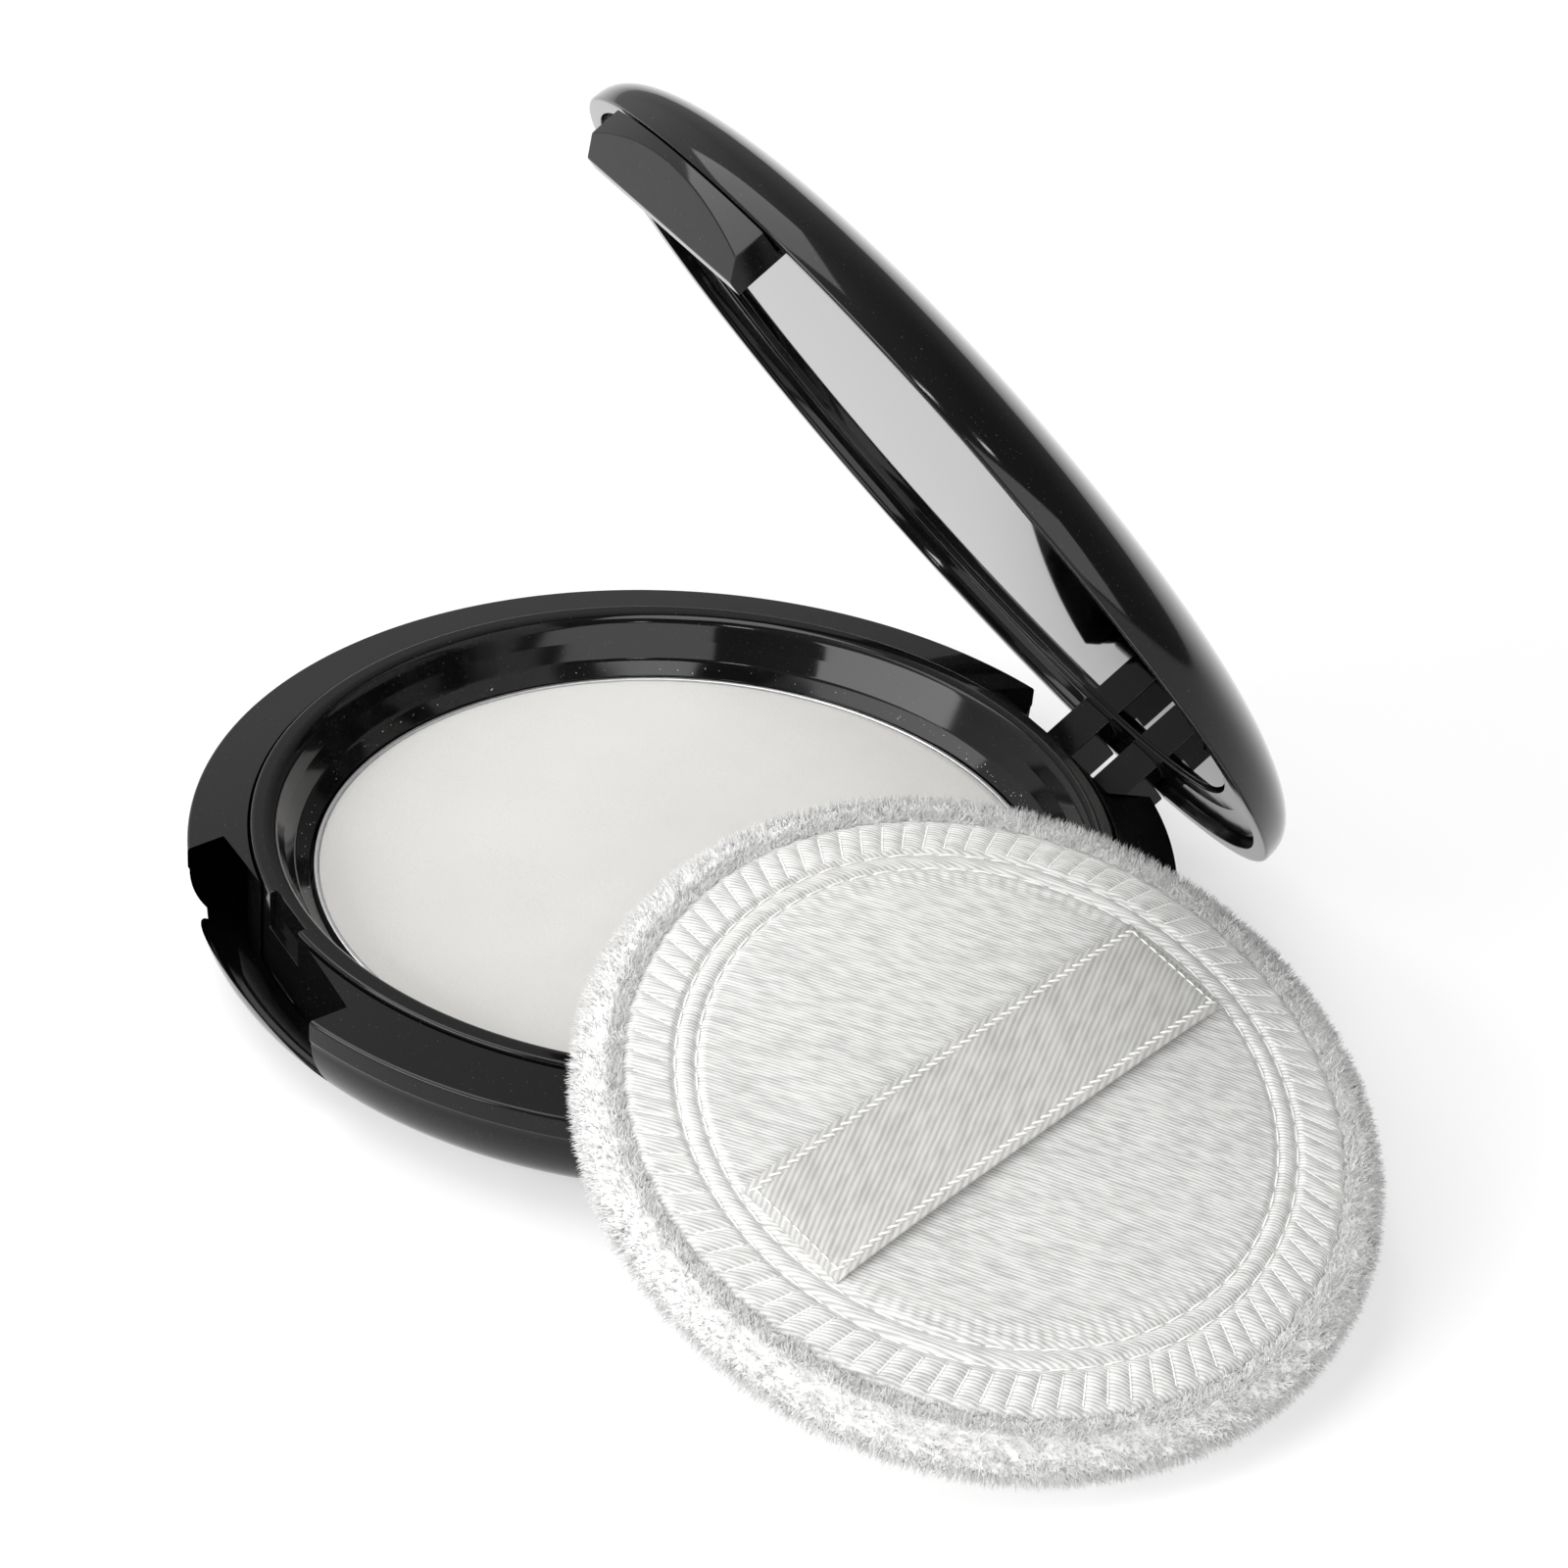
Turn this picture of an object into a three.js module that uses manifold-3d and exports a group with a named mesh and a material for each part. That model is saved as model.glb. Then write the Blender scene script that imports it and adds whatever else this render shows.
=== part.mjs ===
// A round pressed-powder compact with a mirror lid, open, and a loose powder puff leaning on its rim.
// Millimetres, +Z up. The origin is the middle of the underside; the hinge is at +Y, the latch at -Y.
import * as THREE from "three";
import { mergeVertices } from "three/addons/utils/BufferGeometryUtils.js";
import Module from "manifold-3d";

const solids = await Module();
solids.setup();

// ---- driving dimensions ----
const PAN_DIAMETER = 59; // the metal godet that the powder is pressed in
const RIM_WIDTH = 9.9; // from the edge of the pan to the outside of the compact
const EDGE_HEIGHT = 9.2; // outer edge of the base above the table
const DOME_HEIGHT = 7.8; // lid above its own rim
const PUFF_DIAMETER = 60;
const PUFF_THICKNESS = 5;
const LID_OPEN = 53; // degrees from closed
const PUFF_TILT = 17.1; // degrees from flat
const PUFF_TURN = -2.9; // degrees, the way the puff slopes down, from +X
const PUFF_REACH = 33.7; // how far the puff's edge lies towards the hinge
const RIBBON_TURN = 111.2; // degrees, the way the ribbon lies across the puff

// ---- clearances ----
const SEAT_GAP = 0.05; // two pieces that sit on each other in the base
const TURNED_GAP = 0.12; // two pieces that sit on each other in the lid or the puff
const FIT_GAP = 0.2; // a piece pushed into another
const CLOSED_GAP = 0.3; // between the closed lid and the base
const HINGE_GAP = 0.3; // between knuckles
const LEAN_GAP = 0.04; // between the leaning puff and the edge of the base

// ---- base ----
const PAN_R = PAN_DIAMETER / 2;
const OUTER_R = PAN_R + RIM_WIDTH;
const FLOOR = 1.6;
const FOOT_R = OUTER_R - 8.4; // where the underside starts to curve up
const CREASE_Z = EDGE_HEIGHT - 1.9; // the curved side ends here and the upright edge band starts
const BEAD_R = OUTER_R - 4.9; // outer face of the raised bead on the tray
const BEAD_Z = EDGE_HEIGHT + 1.2;
const LAND_RISE = 0.85; // the sloping land rises this much from the edge to the bead
const WELL_R = BEAD_R - 1.9;
const WELL_FOOT_R = WELL_R - 0.6;
const SHELF_Z = 7;
const PAN_TOP = 6;
const POCKET_R = PAN_R + 0.3;
const POCKET_FLOOR = FLOOR + SEAT_GAP + 0.8;
const TAPE = 0.2;
const PAN_TAPE_R = PAN_R - 7.5;
const LABEL = 0.2; // a round paper label, let in flush with the underside
const LABEL_R = 14;
const PAN_WALL = 0.4;
const TRAY_WALL = 1.1;
const POWDER_CROWN = 0.25;

// ---- hinge ----
const HINGE_Y = OUTER_R - 2.4;
const HINGE_Z = 4.2;
const BARREL_R = 1.9;
const PIN_R = 0.75;
const PIN_HOLE_R = 0.9;
const RECESS_HALF = 9.2; // half width of the hinge recess
const LEG_IN = 1.8;
const LEG_OUT = 5.8;
const PIN_HALF = 8.4;

// ---- latch ----
const NOTCH_HALF = 12.4;
const TAB_HALF = 11.5;
const NOTCH_Y = BEAD_R - 0.1; // distance of the notch's straight back wall from the middle
const NOTCH_FLOOR = 3.3;
const TAB_BACK = NOTCH_Y + 0.45;
const TAB_FRONT = OUTER_R - 0.15;
const TAB_TIP = 5.4;
const CATCH_HALF = 3.1;
const CATCH_DEPTH = 1.3;

// ---- lid, in its closed place ----
const RIM_Z = EDGE_HEIGHT + CLOSED_GAP;
const DOME_WALL = 1.5;
const DOME_POWER = 2.6; // a superellipse: 2 is a plain ellipse, more is squarer at the shoulder
const MIRROR_R = BEAD_R - 1.5;
const MIRROR_TAPE_R = MIRROR_R - 5;
const MIRROR_FACE = RIM_Z + 1.6;
const MIRROR_GLASS = 1.1;
const FRAME_FLOOR = 0.8;

// ---- puff, in its own lying-flat place: the satin's edge is at height 0 ----
const PUFF_R = PUFF_DIAMETER / 2;
const PUFF_SIDE = PUFF_REACH - PUFF_R; // the puff's middle lies this far beside its line of slope
const SATIN_R = PUFF_R - 3.7;
const FOAM_R = SATIN_R - 1.1;
const SATIN_CROWN = 0.9;
const SEAM_OUTER_R = SATIN_R * 0.865;
const SEAM_INNER_R = SATIN_R * 0.808;
const THREAD_R = 0.18;
const RIBBON_WIDTH = 9.5;
const RIBBON = 0.45;

const ROUND = 60; // sides of the large round pieces
const rad = THREE.MathUtils.degToRad;

// ---- materials ----
const finish = (color, roughness, metalness = 0) => new THREE.MeshStandardMaterial({ color, roughness, metalness });
const BLACK_GLOSS = finish(0x0b0b0c, 0.08);
const MIRROR = finish(0xe6e8ea, 0.02, 1);
const ALUMINIUM = finish(0xc4c6c8, 0.35, 1);
const POWDER = finish(0xf3f0ea, 0.95);
const STEEL = finish(0xb9bcc0, 0.25, 1);
const TAPE_WHITE = finish(0xe8e6df, 0.7);
const PAPER = finish(0xf2f2f0, 0.8);
const PLUSH = finish(0xf4f2ef, 1);
const FOAM = finish(0xefe9d8, 0.95);
const SATIN = finish(0xefedea, 0.45);
const RIBBON_WHITE = finish(0xf1efec, 0.4);
const THREAD = finish(0xe9e6e1, 0.6);

// ---- shaping ----
function solidOf(geometry) {
  const flat = new THREE.BufferGeometry().setAttribute("position", geometry.getAttribute("position"));
  if (geometry.index) flat.setIndex(geometry.index);
  const merged = mergeVertices(flat, 1e-4);
  const mesh = new solids.Mesh({
    numProp: 3,
    vertProperties: new Float32Array(merged.attributes.position.array),
    triVerts: new Uint32Array(merged.index.array),
  });
  return new solids.Manifold(mesh);
}

function geometryOf(solid) {
  const mesh = solid.getMesh();
  const geometry = new THREE.BufferGeometry();
  geometry.setAttribute("position", new THREE.BufferAttribute(new Float32Array(mesh.vertProperties), 3));
  geometry.setIndex(new THREE.BufferAttribute(new Uint32Array(mesh.triVerts), 1));
  const faceted = geometry.toNonIndexed();
  faceted.computeVertexNormals();
  return faceted;
}

// A body turned about Z from [radius, height] points that run anticlockwise round its section.
function turned(points, sides = ROUND) {
  const onAxis = points[0][0] === 0 && points.at(-1)[0] === 0;
  const outline = onAxis ? points : [...points, points[0]];
  const profile = outline.map(([r, z]) => new THREE.Vector2(r, z));
  return new THREE.LatheGeometry(profile, sides).rotateX(Math.PI / 2);
}

function disc(radius, bottom, thickness, sides = 40) {
  const flat = new THREE.CylinderGeometry(radius, radius, thickness, sides).rotateX(Math.PI / 2);
  return flat.translate(0, 0, bottom + thickness / 2);
}

function block(x0, x1, y0, y1, z0, z1) {
  const box = new THREE.BoxGeometry(x1 - x0, y1 - y0, z1 - z0);
  return box.translate((x0 + x1) / 2, (y0 + y1) / 2, (z0 + z1) / 2);
}

// A rod along X about the hinge axis.
function hingeRod(radius, x0, x1, sides = 20) {
  const rod = new THREE.CylinderGeometry(radius, radius, x1 - x0, sides).rotateZ(Math.PI / 2);
  return rod.translate((x0 + x1) / 2, HINGE_Y, HINGE_Z);
}

// A prism along X whose section is given as [y, z] points.
function prismAlongX(section, x0, x1) {
  const shape = new THREE.Shape(section.map(([y, z]) => new THREE.Vector2(y, z)));
  const prism = new THREE.ExtrudeGeometry(shape, { depth: x1 - x0, bevelEnabled: false });
  // extrusion runs along Z: turn the drawing's x, y, z into Y, Z, X
  return prism.rotateX(Math.PI / 2).rotateZ(Math.PI / 2).translate(x0, 0, 0);
}

function join(...geometries) {
  return solids.Manifold.union(geometries.map(solidOf));
}

function piece(name, geometry, material) {
  const mesh = new THREE.Mesh(geometry, material);
  mesh.name = name;
  return mesh;
}

// Points along a quarter of an ellipse or superellipse, from angle a to b in quarter turns.
function arc(cx, cz, rx, rz, a, b, steps, power = 2) {
  const out = [];
  for (let i = 0; i <= steps; i++) {
    const t = (a + ((b - a) * i) / steps) * (Math.PI / 2);
    const c = Math.cos(t);
    const s = Math.sin(t);
    const bend = 2 / power;
    out.push([cx + rx * Math.sign(c) * Math.abs(c) ** bend, cz + rz * Math.sign(s) * Math.abs(s) ** bend]);
  }
  return out;
}

// ---- base ----
const landHeight = (r) => EDGE_HEIGHT + (LAND_RISE * (OUTER_R - r)) / (OUTER_R - BEAD_R);

// Space for the lid's tab: upright back wall, flat floor, and a floor that slopes up to the outside.
function notchSpace() {
  const back = -NOTCH_Y;
  const turn = -NOTCH_Y - 1.9;
  const out = -OUTER_R - 4;
  const rise = turn - out;
  const section = [
    [back, BEAD_Z + 2],
    [out, BEAD_Z + 2],
    [out, NOTCH_FLOOR + rise],
    [turn, NOTCH_FLOOR],
    [back, NOTCH_FLOOR],
  ];
  return prismAlongX(section, -NOTCH_HALF, NOTCH_HALF);
}

function baseShell() {
  const socketR = BEAD_R + FIT_GAP;
  const side = arc(FOOT_R, CREASE_Z, OUTER_R - 0.15 - FOOT_R, CREASE_Z, -1, 0, 8);
  const profile = [
    [0, 0],
    ...side,
    [OUTER_R, CREASE_Z + 0.2],
    [OUTER_R, EDGE_HEIGHT],
    [socketR, landHeight(socketR)],
    [socketR, FLOOR],
    [0, FLOOR],
  ];
  const labelRecess = disc(LABEL_R + FIT_GAP, -LABEL - SEAT_GAP, 2 * (LABEL + SEAT_GAP));
  const recess = block(-RECESS_HALF, RECESS_HALF, BEAD_R + 0.1, OUTER_R + 2, FLOOR, BEAD_Z + 2);
  const knuckleWeb = (x0, x1) => block(x0, x1, BEAD_R + 0.5, HINGE_Y + 0.9, FLOOR - 0.4, HINGE_Z);
  const outer = LEG_OUT + HINGE_GAP;
  const middle = LEG_IN - HINGE_GAP;
  const knuckles = join(
    knuckleWeb(-middle, middle),
    hingeRod(BARREL_R, -middle, middle),
    knuckleWeb(-RECESS_HALF - 0.5, -outer),
    hingeRod(BARREL_R, -RECESS_HALF - 0.5, -outer),
    knuckleWeb(outer, RECESS_HALF + 0.5),
    hingeRod(BARREL_R, outer, RECESS_HALF + 0.5),
  );
  return solidOf(turned(profile))
    .subtract(solidOf(recess))
    .subtract(solidOf(notchSpace()))
    .subtract(solidOf(labelRecess))
    .add(knuckles)
    .subtract(solidOf(hingeRod(PIN_HOLE_R, -PIN_HALF - 0.2, PIN_HALF + 0.2)));
}

function baseTray() {
  const under = FLOOR + SEAT_GAP;
  const innerR = POCKET_R + TRAY_WALL;
  const outerR = BEAD_R - TRAY_WALL;
  const profile = [
    [0, under],
    [innerR, under],
    [innerR, PAN_TOP - 1.2],
    [outerR, PAN_TOP - 0.6],
    [outerR, under],
    [BEAD_R, under],
    [BEAD_R, BEAD_Z - 0.3],
    [BEAD_R - 0.3, BEAD_Z],
    [WELL_R + 0.2, BEAD_Z],
    [WELL_R, BEAD_Z - 0.2],
    [WELL_FOOT_R, SHELF_Z],
    [POCKET_R, PAN_TOP],
    [POCKET_R, POCKET_FLOOR],
    [0, POCKET_FLOOR],
  ];
  const catchRecess = block(-CATCH_HALF, CATCH_HALF, -NOTCH_Y - 1, -NOTCH_Y + CATCH_DEPTH, SHELF_Z + 0.2, BEAD_Z + 1);
  return solidOf(turned(profile)).subtract(solidOf(notchSpace())).subtract(solidOf(catchRecess));
}

const PAN_BOTTOM = POCKET_FLOOR + SEAT_GAP + TAPE + SEAT_GAP;

function powderPan() {
  const inner = PAN_R - PAN_WALL;
  return turned([
    [0, PAN_BOTTOM],
    [PAN_R - 0.4, PAN_BOTTOM],
    [PAN_R, PAN_BOTTOM + 0.4],
    [PAN_R, PAN_TOP + 0.1],
    [inner, PAN_TOP + 0.1],
    [inner, PAN_BOTTOM + PAN_WALL],
    [0, PAN_BOTTOM + PAN_WALL],
  ]);
}

function pressedPowder() {
  const r = PAN_R - PAN_WALL - SEAT_GAP;
  const bottom = PAN_BOTTOM + PAN_WALL + SEAT_GAP;
  return turned([
    [0, bottom],
    [r, bottom],
    [r, PAN_TOP - 0.1],
    [r - 0.8, PAN_TOP + 0.1],
    [r * 0.6, PAN_TOP + 0.1 + POWDER_CROWN * 0.6],
    [0, PAN_TOP + 0.1 + POWDER_CROWN],
  ]);
}

// ---- lid ----
function lidShell() {
  const inR = OUTER_R - DOME_WALL;
  const outside = arc(0, RIM_Z + 0.3, OUTER_R, DOME_HEIGHT - 0.3, 0, 1, 12, DOME_POWER);
  const inside = arc(0, RIM_Z + 0.3, inR, DOME_HEIGHT - DOME_WALL, 1, 0, 8, DOME_POWER);
  outside[outside.length - 1][0] = 0;
  inside[0][0] = 0;
  return turned([...[[inR, RIM_Z], [OUTER_R, RIM_Z], ...outside].reverse(), ...[...inside].reverse()].reverse());
}

const MIRROR_BACK = MIRROR_FACE + MIRROR_GLASS;
const FRAME_SEAT = MIRROR_BACK + TURNED_GAP + TAPE + TURNED_GAP;

function lidFrame() {
  const bandOut = RIM_Z + 0.9;
  const bandIn = RIM_Z + 1.3;
  const mirrorPocket = MIRROR_R + FIT_GAP;
  const top = FRAME_SEAT + FRAME_FLOOR;
  const profile = [
    [0, FRAME_SEAT],
    [mirrorPocket, FRAME_SEAT],
    [mirrorPocket, bandIn],
    [BEAD_R + 0.5, bandIn],
    [OUTER_R - DOME_WALL - FIT_GAP - 0.1, bandOut],
    [OUTER_R - DOME_WALL - FIT_GAP - 0.5, RIM_Z + 1.5],
    [mirrorPocket + 1.6, RIM_Z + 2.9],
    [mirrorPocket - 0.4, top],
    [0, top],
  ];
  // the tab: a block as wide as the latch notch, with a thumb slope along its lower front edge
  const slope = TAB_FRONT - TAB_BACK - 1.3;
  const tabSection = [
    [-TAB_BACK, RIM_Z - 0.1],
    [-TAB_FRONT - 0.5, RIM_Z - 0.1],
    [-TAB_FRONT - 0.5, TAB_TIP + slope + 0.5],
    [-TAB_BACK - 1.3, TAB_TIP],
    [-TAB_BACK, TAB_TIP],
  ];
  const tabFront = disc(TAB_FRONT, TAB_TIP - 1, RIM_Z - TAB_TIP + 2, 120);
  const tab = solidOf(prismAlongX(tabSection, -TAB_HALF, TAB_HALF)).intersect(solidOf(tabFront));
  const rootR = OUTER_R - DOME_WALL - FIT_GAP - 0.4;
  const rootBand = solidOf(disc(rootR, RIM_Z - 0.6, 2, ROUND));
  const tabRoot = solidOf(block(-TAB_HALF, TAB_HALF, -OUTER_R, -TAB_BACK, RIM_Z - 0.6, RIM_Z + 1.4));
  const hook = block(-CATCH_HALF + 0.5, CATCH_HALF - 0.5, -TAB_BACK - 0.5, -NOTCH_Y + 0.5, SHELF_Z + 0.6, SHELF_Z + 1.6);
  const leg = (x0, x1) => {
    const upright = solidOf(block(x0, x1, HINGE_Y - 1.7, HINGE_Y + 1.7, HINGE_Z, RIM_Z - 0.1));
    const root = solidOf(block(x0, x1, HINGE_Y - 1.7, OUTER_R, RIM_Z - 0.6, RIM_Z + 1.4)).intersect(rootBand);
    return upright.add(root).add(solidOf(hingeRod(BARREL_R, x0, x1)));
  };
  return solidOf(turned(profile))
    .add(tab)
    .add(tabRoot.intersect(rootBand))
    .add(solidOf(hook))
    .add(leg(LEG_IN, LEG_OUT))
    .add(leg(-LEG_OUT, -LEG_IN))
    .subtract(solidOf(hingeRod(PIN_HOLE_R, -PIN_HALF, PIN_HALF)));
}

// ---- puff ----
const satinTop = (r) => SATIN_CROWN * (1 - (r / SATIN_R) ** 4);

function puffBack() {
  const edge = PUFF_THICKNESS / 2;
  const wall = arc(PUFF_R - edge, -edge, edge, edge, -1, 0.8, 7);
  const pocketR = FOAM_R + TURNED_GAP;
  return turned([
    [0, -PUFF_THICKNESS],
    ...wall,
    [SATIN_R, -0.45],
    [pocketR, -0.45],
    [pocketR, -PUFF_THICKNESS + 0.9],
    [0, -PUFF_THICKNESS + 0.9],
  ], 48);
}

function puffFoam() {
  const top = -0.3 - TURNED_GAP;
  const bottom = -PUFF_THICKNESS + 0.9 + TURNED_GAP;
  return disc(FOAM_R, bottom, top - bottom, 48);
}

function satinCover() {
  const rise = [0.97, 0.85, 0.7, 0.4].map((part) => [SATIN_R * part, satinTop(SATIN_R * part)]);
  return turned([[0, -0.3], [SATIN_R, -0.3], [SATIN_R, 0], ...rise, [0, SATIN_CROWN]], 48);
}

function seamThread(radius) {
  const ring = new THREE.TorusGeometry(radius, THREAD_R, 6, 48);
  return ring.translate(0, 0, satinTop(radius) + THREAD_R + TURNED_GAP);
}

// A strap from one side of the inner seam to the other, a little off the satin in the middle.
function ribbonStrap() {
  const half = Math.sqrt((SEAM_INNER_R - THREAD_R - 0.3) ** 2 - (RIBBON_WIDTH / 2) ** 2);
  const steps = 8;
  const under = [];
  for (let i = 0; i <= steps; i++) {
    const y = -half + (2 * half * i) / steps;
    const lift = 0.7 * (1 - (y / half) ** 2);
    under.push([y, SATIN_CROWN + TURNED_GAP + lift]);
  }
  const over = under.map(([y, z]) => [y, z + RIBBON]).reverse();
  return prismAlongX([...under, ...over], -RIBBON_WIDTH / 2, RIBBON_WIDTH / 2);
}

// ---- scene ----
const compact = new THREE.Group();
compact.add(
  piece("base_shell", geometryOf(baseShell()), BLACK_GLOSS),
  piece("base_tray", geometryOf(baseTray()), BLACK_GLOSS),
  piece("base_label", disc(LABEL_R, 0, LABEL), PAPER),
  piece("pan_tape", disc(PAN_TAPE_R, POCKET_FLOOR + SEAT_GAP, TAPE), TAPE_WHITE),
  piece("powder_pan", powderPan(), ALUMINIUM),
  piece("pressed_powder", pressedPowder(), POWDER),
);

// everything on the hinge turns about the hinge axis: pieces are drawn closed and hung open
const swing = new THREE.Group();
swing.position.set(0, HINGE_Y, HINGE_Z);
swing.rotation.x = -rad(LID_OPEN);
const hung = (geometry) => geometry.translate(0, -HINGE_Y, -HINGE_Z);
swing.add(
  piece("hinge_pin", hung(hingeRod(PIN_R, -PIN_HALF, PIN_HALF, 12)), STEEL),
  piece("lid_shell", hung(lidShell()), BLACK_GLOSS),
  piece("lid_frame", hung(geometryOf(lidFrame())), BLACK_GLOSS),
  piece("mirror", hung(disc(MIRROR_R, MIRROR_FACE, MIRROR_GLASS, ROUND)), MIRROR),
  piece("mirror_tape", hung(disc(MIRROR_TAPE_R, MIRROR_BACK + TURNED_GAP, TAPE)), TAPE_WHITE),
);
compact.add(swing);

// the puff stands on the table on its rounded edge and leans on the edge of the base
const puff = new THREE.Group();
const tilt = rad(PUFF_TILT);
const turn = rad(PUFF_TURN);
const roll = PUFF_THICKNESS / 2;
const height = (PUFF_R - roll) * Math.sin(tilt) + roll * Math.cos(tilt) + roll + 0.01;
const fall = EDGE_HEIGHT + PUFF_THICKNESS * Math.cos(tilt) - height;
const reach = OUTER_R + LEAN_GAP + fall / Math.tan(tilt) + PUFF_THICKNESS * Math.sin(tilt);
const x = reach * Math.cos(turn) - PUFF_SIDE * Math.sin(turn);
const y = reach * Math.sin(turn) + PUFF_SIDE * Math.cos(turn);
puff.position.set(x, y, height);
puff.rotation.set(0, tilt, turn, "ZYX");
const ribbon = piece("ribbon", ribbonStrap(), RIBBON_WHITE);
ribbon.rotation.z = rad(RIBBON_TURN - 90);
puff.add(
  piece("puff_back", puffBack(), PLUSH),
  piece("puff_foam", puffFoam(), FOAM),
  piece("satin_cover", satinCover(), SATIN),
  piece("seam_outer", seamThread(SEAM_OUTER_R), THREAD),
  piece("seam_inner", seamThread(SEAM_INNER_R), THREAD),
  ribbon,
);
compact.add(puff);

export default compact;
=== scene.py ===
"""Looks of a round powder compact: black moulded base and lid, mirror, pressed powder and a plush puff."""

import math

import bpy
import numpy as np
from mathutils import Matrix, Vector


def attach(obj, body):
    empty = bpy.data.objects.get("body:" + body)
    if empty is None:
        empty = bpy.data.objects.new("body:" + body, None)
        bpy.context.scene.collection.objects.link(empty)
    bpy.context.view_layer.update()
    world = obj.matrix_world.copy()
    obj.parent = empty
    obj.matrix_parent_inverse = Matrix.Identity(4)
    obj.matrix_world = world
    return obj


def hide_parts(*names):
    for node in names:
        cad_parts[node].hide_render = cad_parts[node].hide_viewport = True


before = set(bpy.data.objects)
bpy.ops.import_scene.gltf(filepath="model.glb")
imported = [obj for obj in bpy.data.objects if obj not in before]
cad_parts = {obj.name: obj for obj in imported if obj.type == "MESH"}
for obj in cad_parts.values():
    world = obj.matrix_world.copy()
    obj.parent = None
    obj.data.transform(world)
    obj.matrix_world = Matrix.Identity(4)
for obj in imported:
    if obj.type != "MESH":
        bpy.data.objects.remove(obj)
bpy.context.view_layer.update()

# ---------------------------------------------------------------------------
# Studio: a pale table that gives off a little light, one large soft light
# overhead, fills in front and on the right, two small windows that show in the
# gloss, and a room that is brighter on the left. The lens is a long one.
# ---------------------------------------------------------------------------
MM = 0.001
TABLE_SIDE = 6.0
TABLE_GREY = 0.5
TABLE_GLOW = 0.5
BRIGHT_SIDE = (-0.60, -0.50, 0.62)

camera_data = bpy.data.cameras.new("camera")
camera_data.lens = 90
camera_data.sensor_width = 36
camera_data.clip_start = 0.01
camera = bpy.data.objects.new("camera", camera_data)
camera.matrix_world = Matrix((
    (0.4709, -0.4989, 0.7276, 0.22939),
    (0.8791, 0.1965, -0.4342, -0.12824),
    (0.0737, 0.8441, 0.5311, 0.17928),
    (0, 0, 0, 1),
))
bpy.context.scene.collection.objects.link(camera)
bpy.context.scene.camera = camera
bpy.context.scene.view_settings.view_transform = "Standard"


def soft_light(name, place, aim, width, height, watts):
    lamp = bpy.data.lights.new(name, "AREA")
    lamp.shape = "RECTANGLE"
    lamp.size = width
    lamp.size_y = height
    lamp.energy = watts
    holder = bpy.data.objects.new(name, lamp)
    holder.location = place
    holder.rotation_euler = (Vector(aim) - Vector(place)).to_track_quat("-Z", "Y").to_euler()
    bpy.context.scene.collection.objects.link(holder)


soft_light("overhead", (-0.35, -0.30, 0.85), (0.02, 0, 0), 0.7, 0.7, 5)
soft_light("front", (0.05, -1.0, 0.42), (0.03, 0, 0.01), 0.8, 0.5, 8)
soft_light("right", (1.0, -0.1, 0.35), (0.04, 0, 0.01), 1.0, 0.6, 5)
soft_light("window_left", (0.88, -0.14, 0.80), (0, 0, 0), 0.10, 0.05, 0.4)
soft_light("window_right", (0.66, -0.58, 0.82), (0, 0, 0), 0.14, 0.06, 0.6)

room = bpy.data.worlds.new("room")
room.use_nodes = True
nodes, links = room.node_tree.nodes, room.node_tree.links
outlook = nodes.new("ShaderNodeTexCoord")
towards = nodes.new("ShaderNodeVectorMath")
towards.operation = "DOT_PRODUCT"
towards.inputs[1].default_value = Vector(BRIGHT_SIDE).normalized()
glow = nodes.new("ShaderNodeValToRGB")
for place, value in ((0.12, 0.17), (0.55, 0.40), (1.0, 1.0)):
    stop = glow.color_ramp.elements.new(place)
    stop.color = (value, value, value, 1)
glow.color_ramp.elements.remove(glow.color_ramp.elements[0])
glow.color_ramp.elements.remove(glow.color_ramp.elements[-1])
links.new(outlook.outputs["Generated"], towards.inputs[0])
links.new(towards.outputs["Value"], glow.inputs["Fac"])
links.new(glow.outputs["Color"], nodes["Background"].inputs["Color"])
bpy.context.scene.world = room


def mesh_piece(name, points, faces):
    """A piece from points in millimetres."""
    mesh = bpy.data.meshes.new(name)
    mesh.from_pydata([tuple(p) for p in np.asarray(points, float) * MM], [], [tuple(f) for f in faces])
    mesh.update()
    piece = bpy.data.objects.new(name, mesh)
    bpy.context.scene.collection.objects.link(piece)
    return piece


half = TABLE_SIDE / 2 / MM
table_corners = [(-half, -half, 0), (half, -half, 0), (half, half, 0), (-half, half, 0)]
table = mesh_piece("table_top", table_corners, [(0, 1, 2, 3)])


def new_material(name):
    material = bpy.data.materials.new(name)
    material.use_nodes = True
    nodes = material.node_tree.nodes
    return material, nodes, material.node_tree.links, nodes["Principled BSDF"]


def object_noise(nodes, links, scale, detail=2.0, stretch=(1, 1, 1), turn=0.0):
    """Noise fixed to the piece: scale is in waves per metre, and stretch is how long its grains are."""
    place = nodes.new("ShaderNodeTexCoord")
    mapping = nodes.new("ShaderNodeMapping")
    mapping.vector_type = "TEXTURE"
    mapping.inputs["Scale"].default_value = stretch
    mapping.inputs["Rotation"].default_value = (0, 0, turn)
    noise = nodes.new("ShaderNodeTexNoise")
    noise.inputs["Scale"].default_value = scale
    noise.inputs["Detail"].default_value = detail
    links.new(place.outputs["Object"], mapping.inputs["Vector"])
    links.new(mapping.outputs["Vector"], noise.inputs["Vector"])
    return noise


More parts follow.
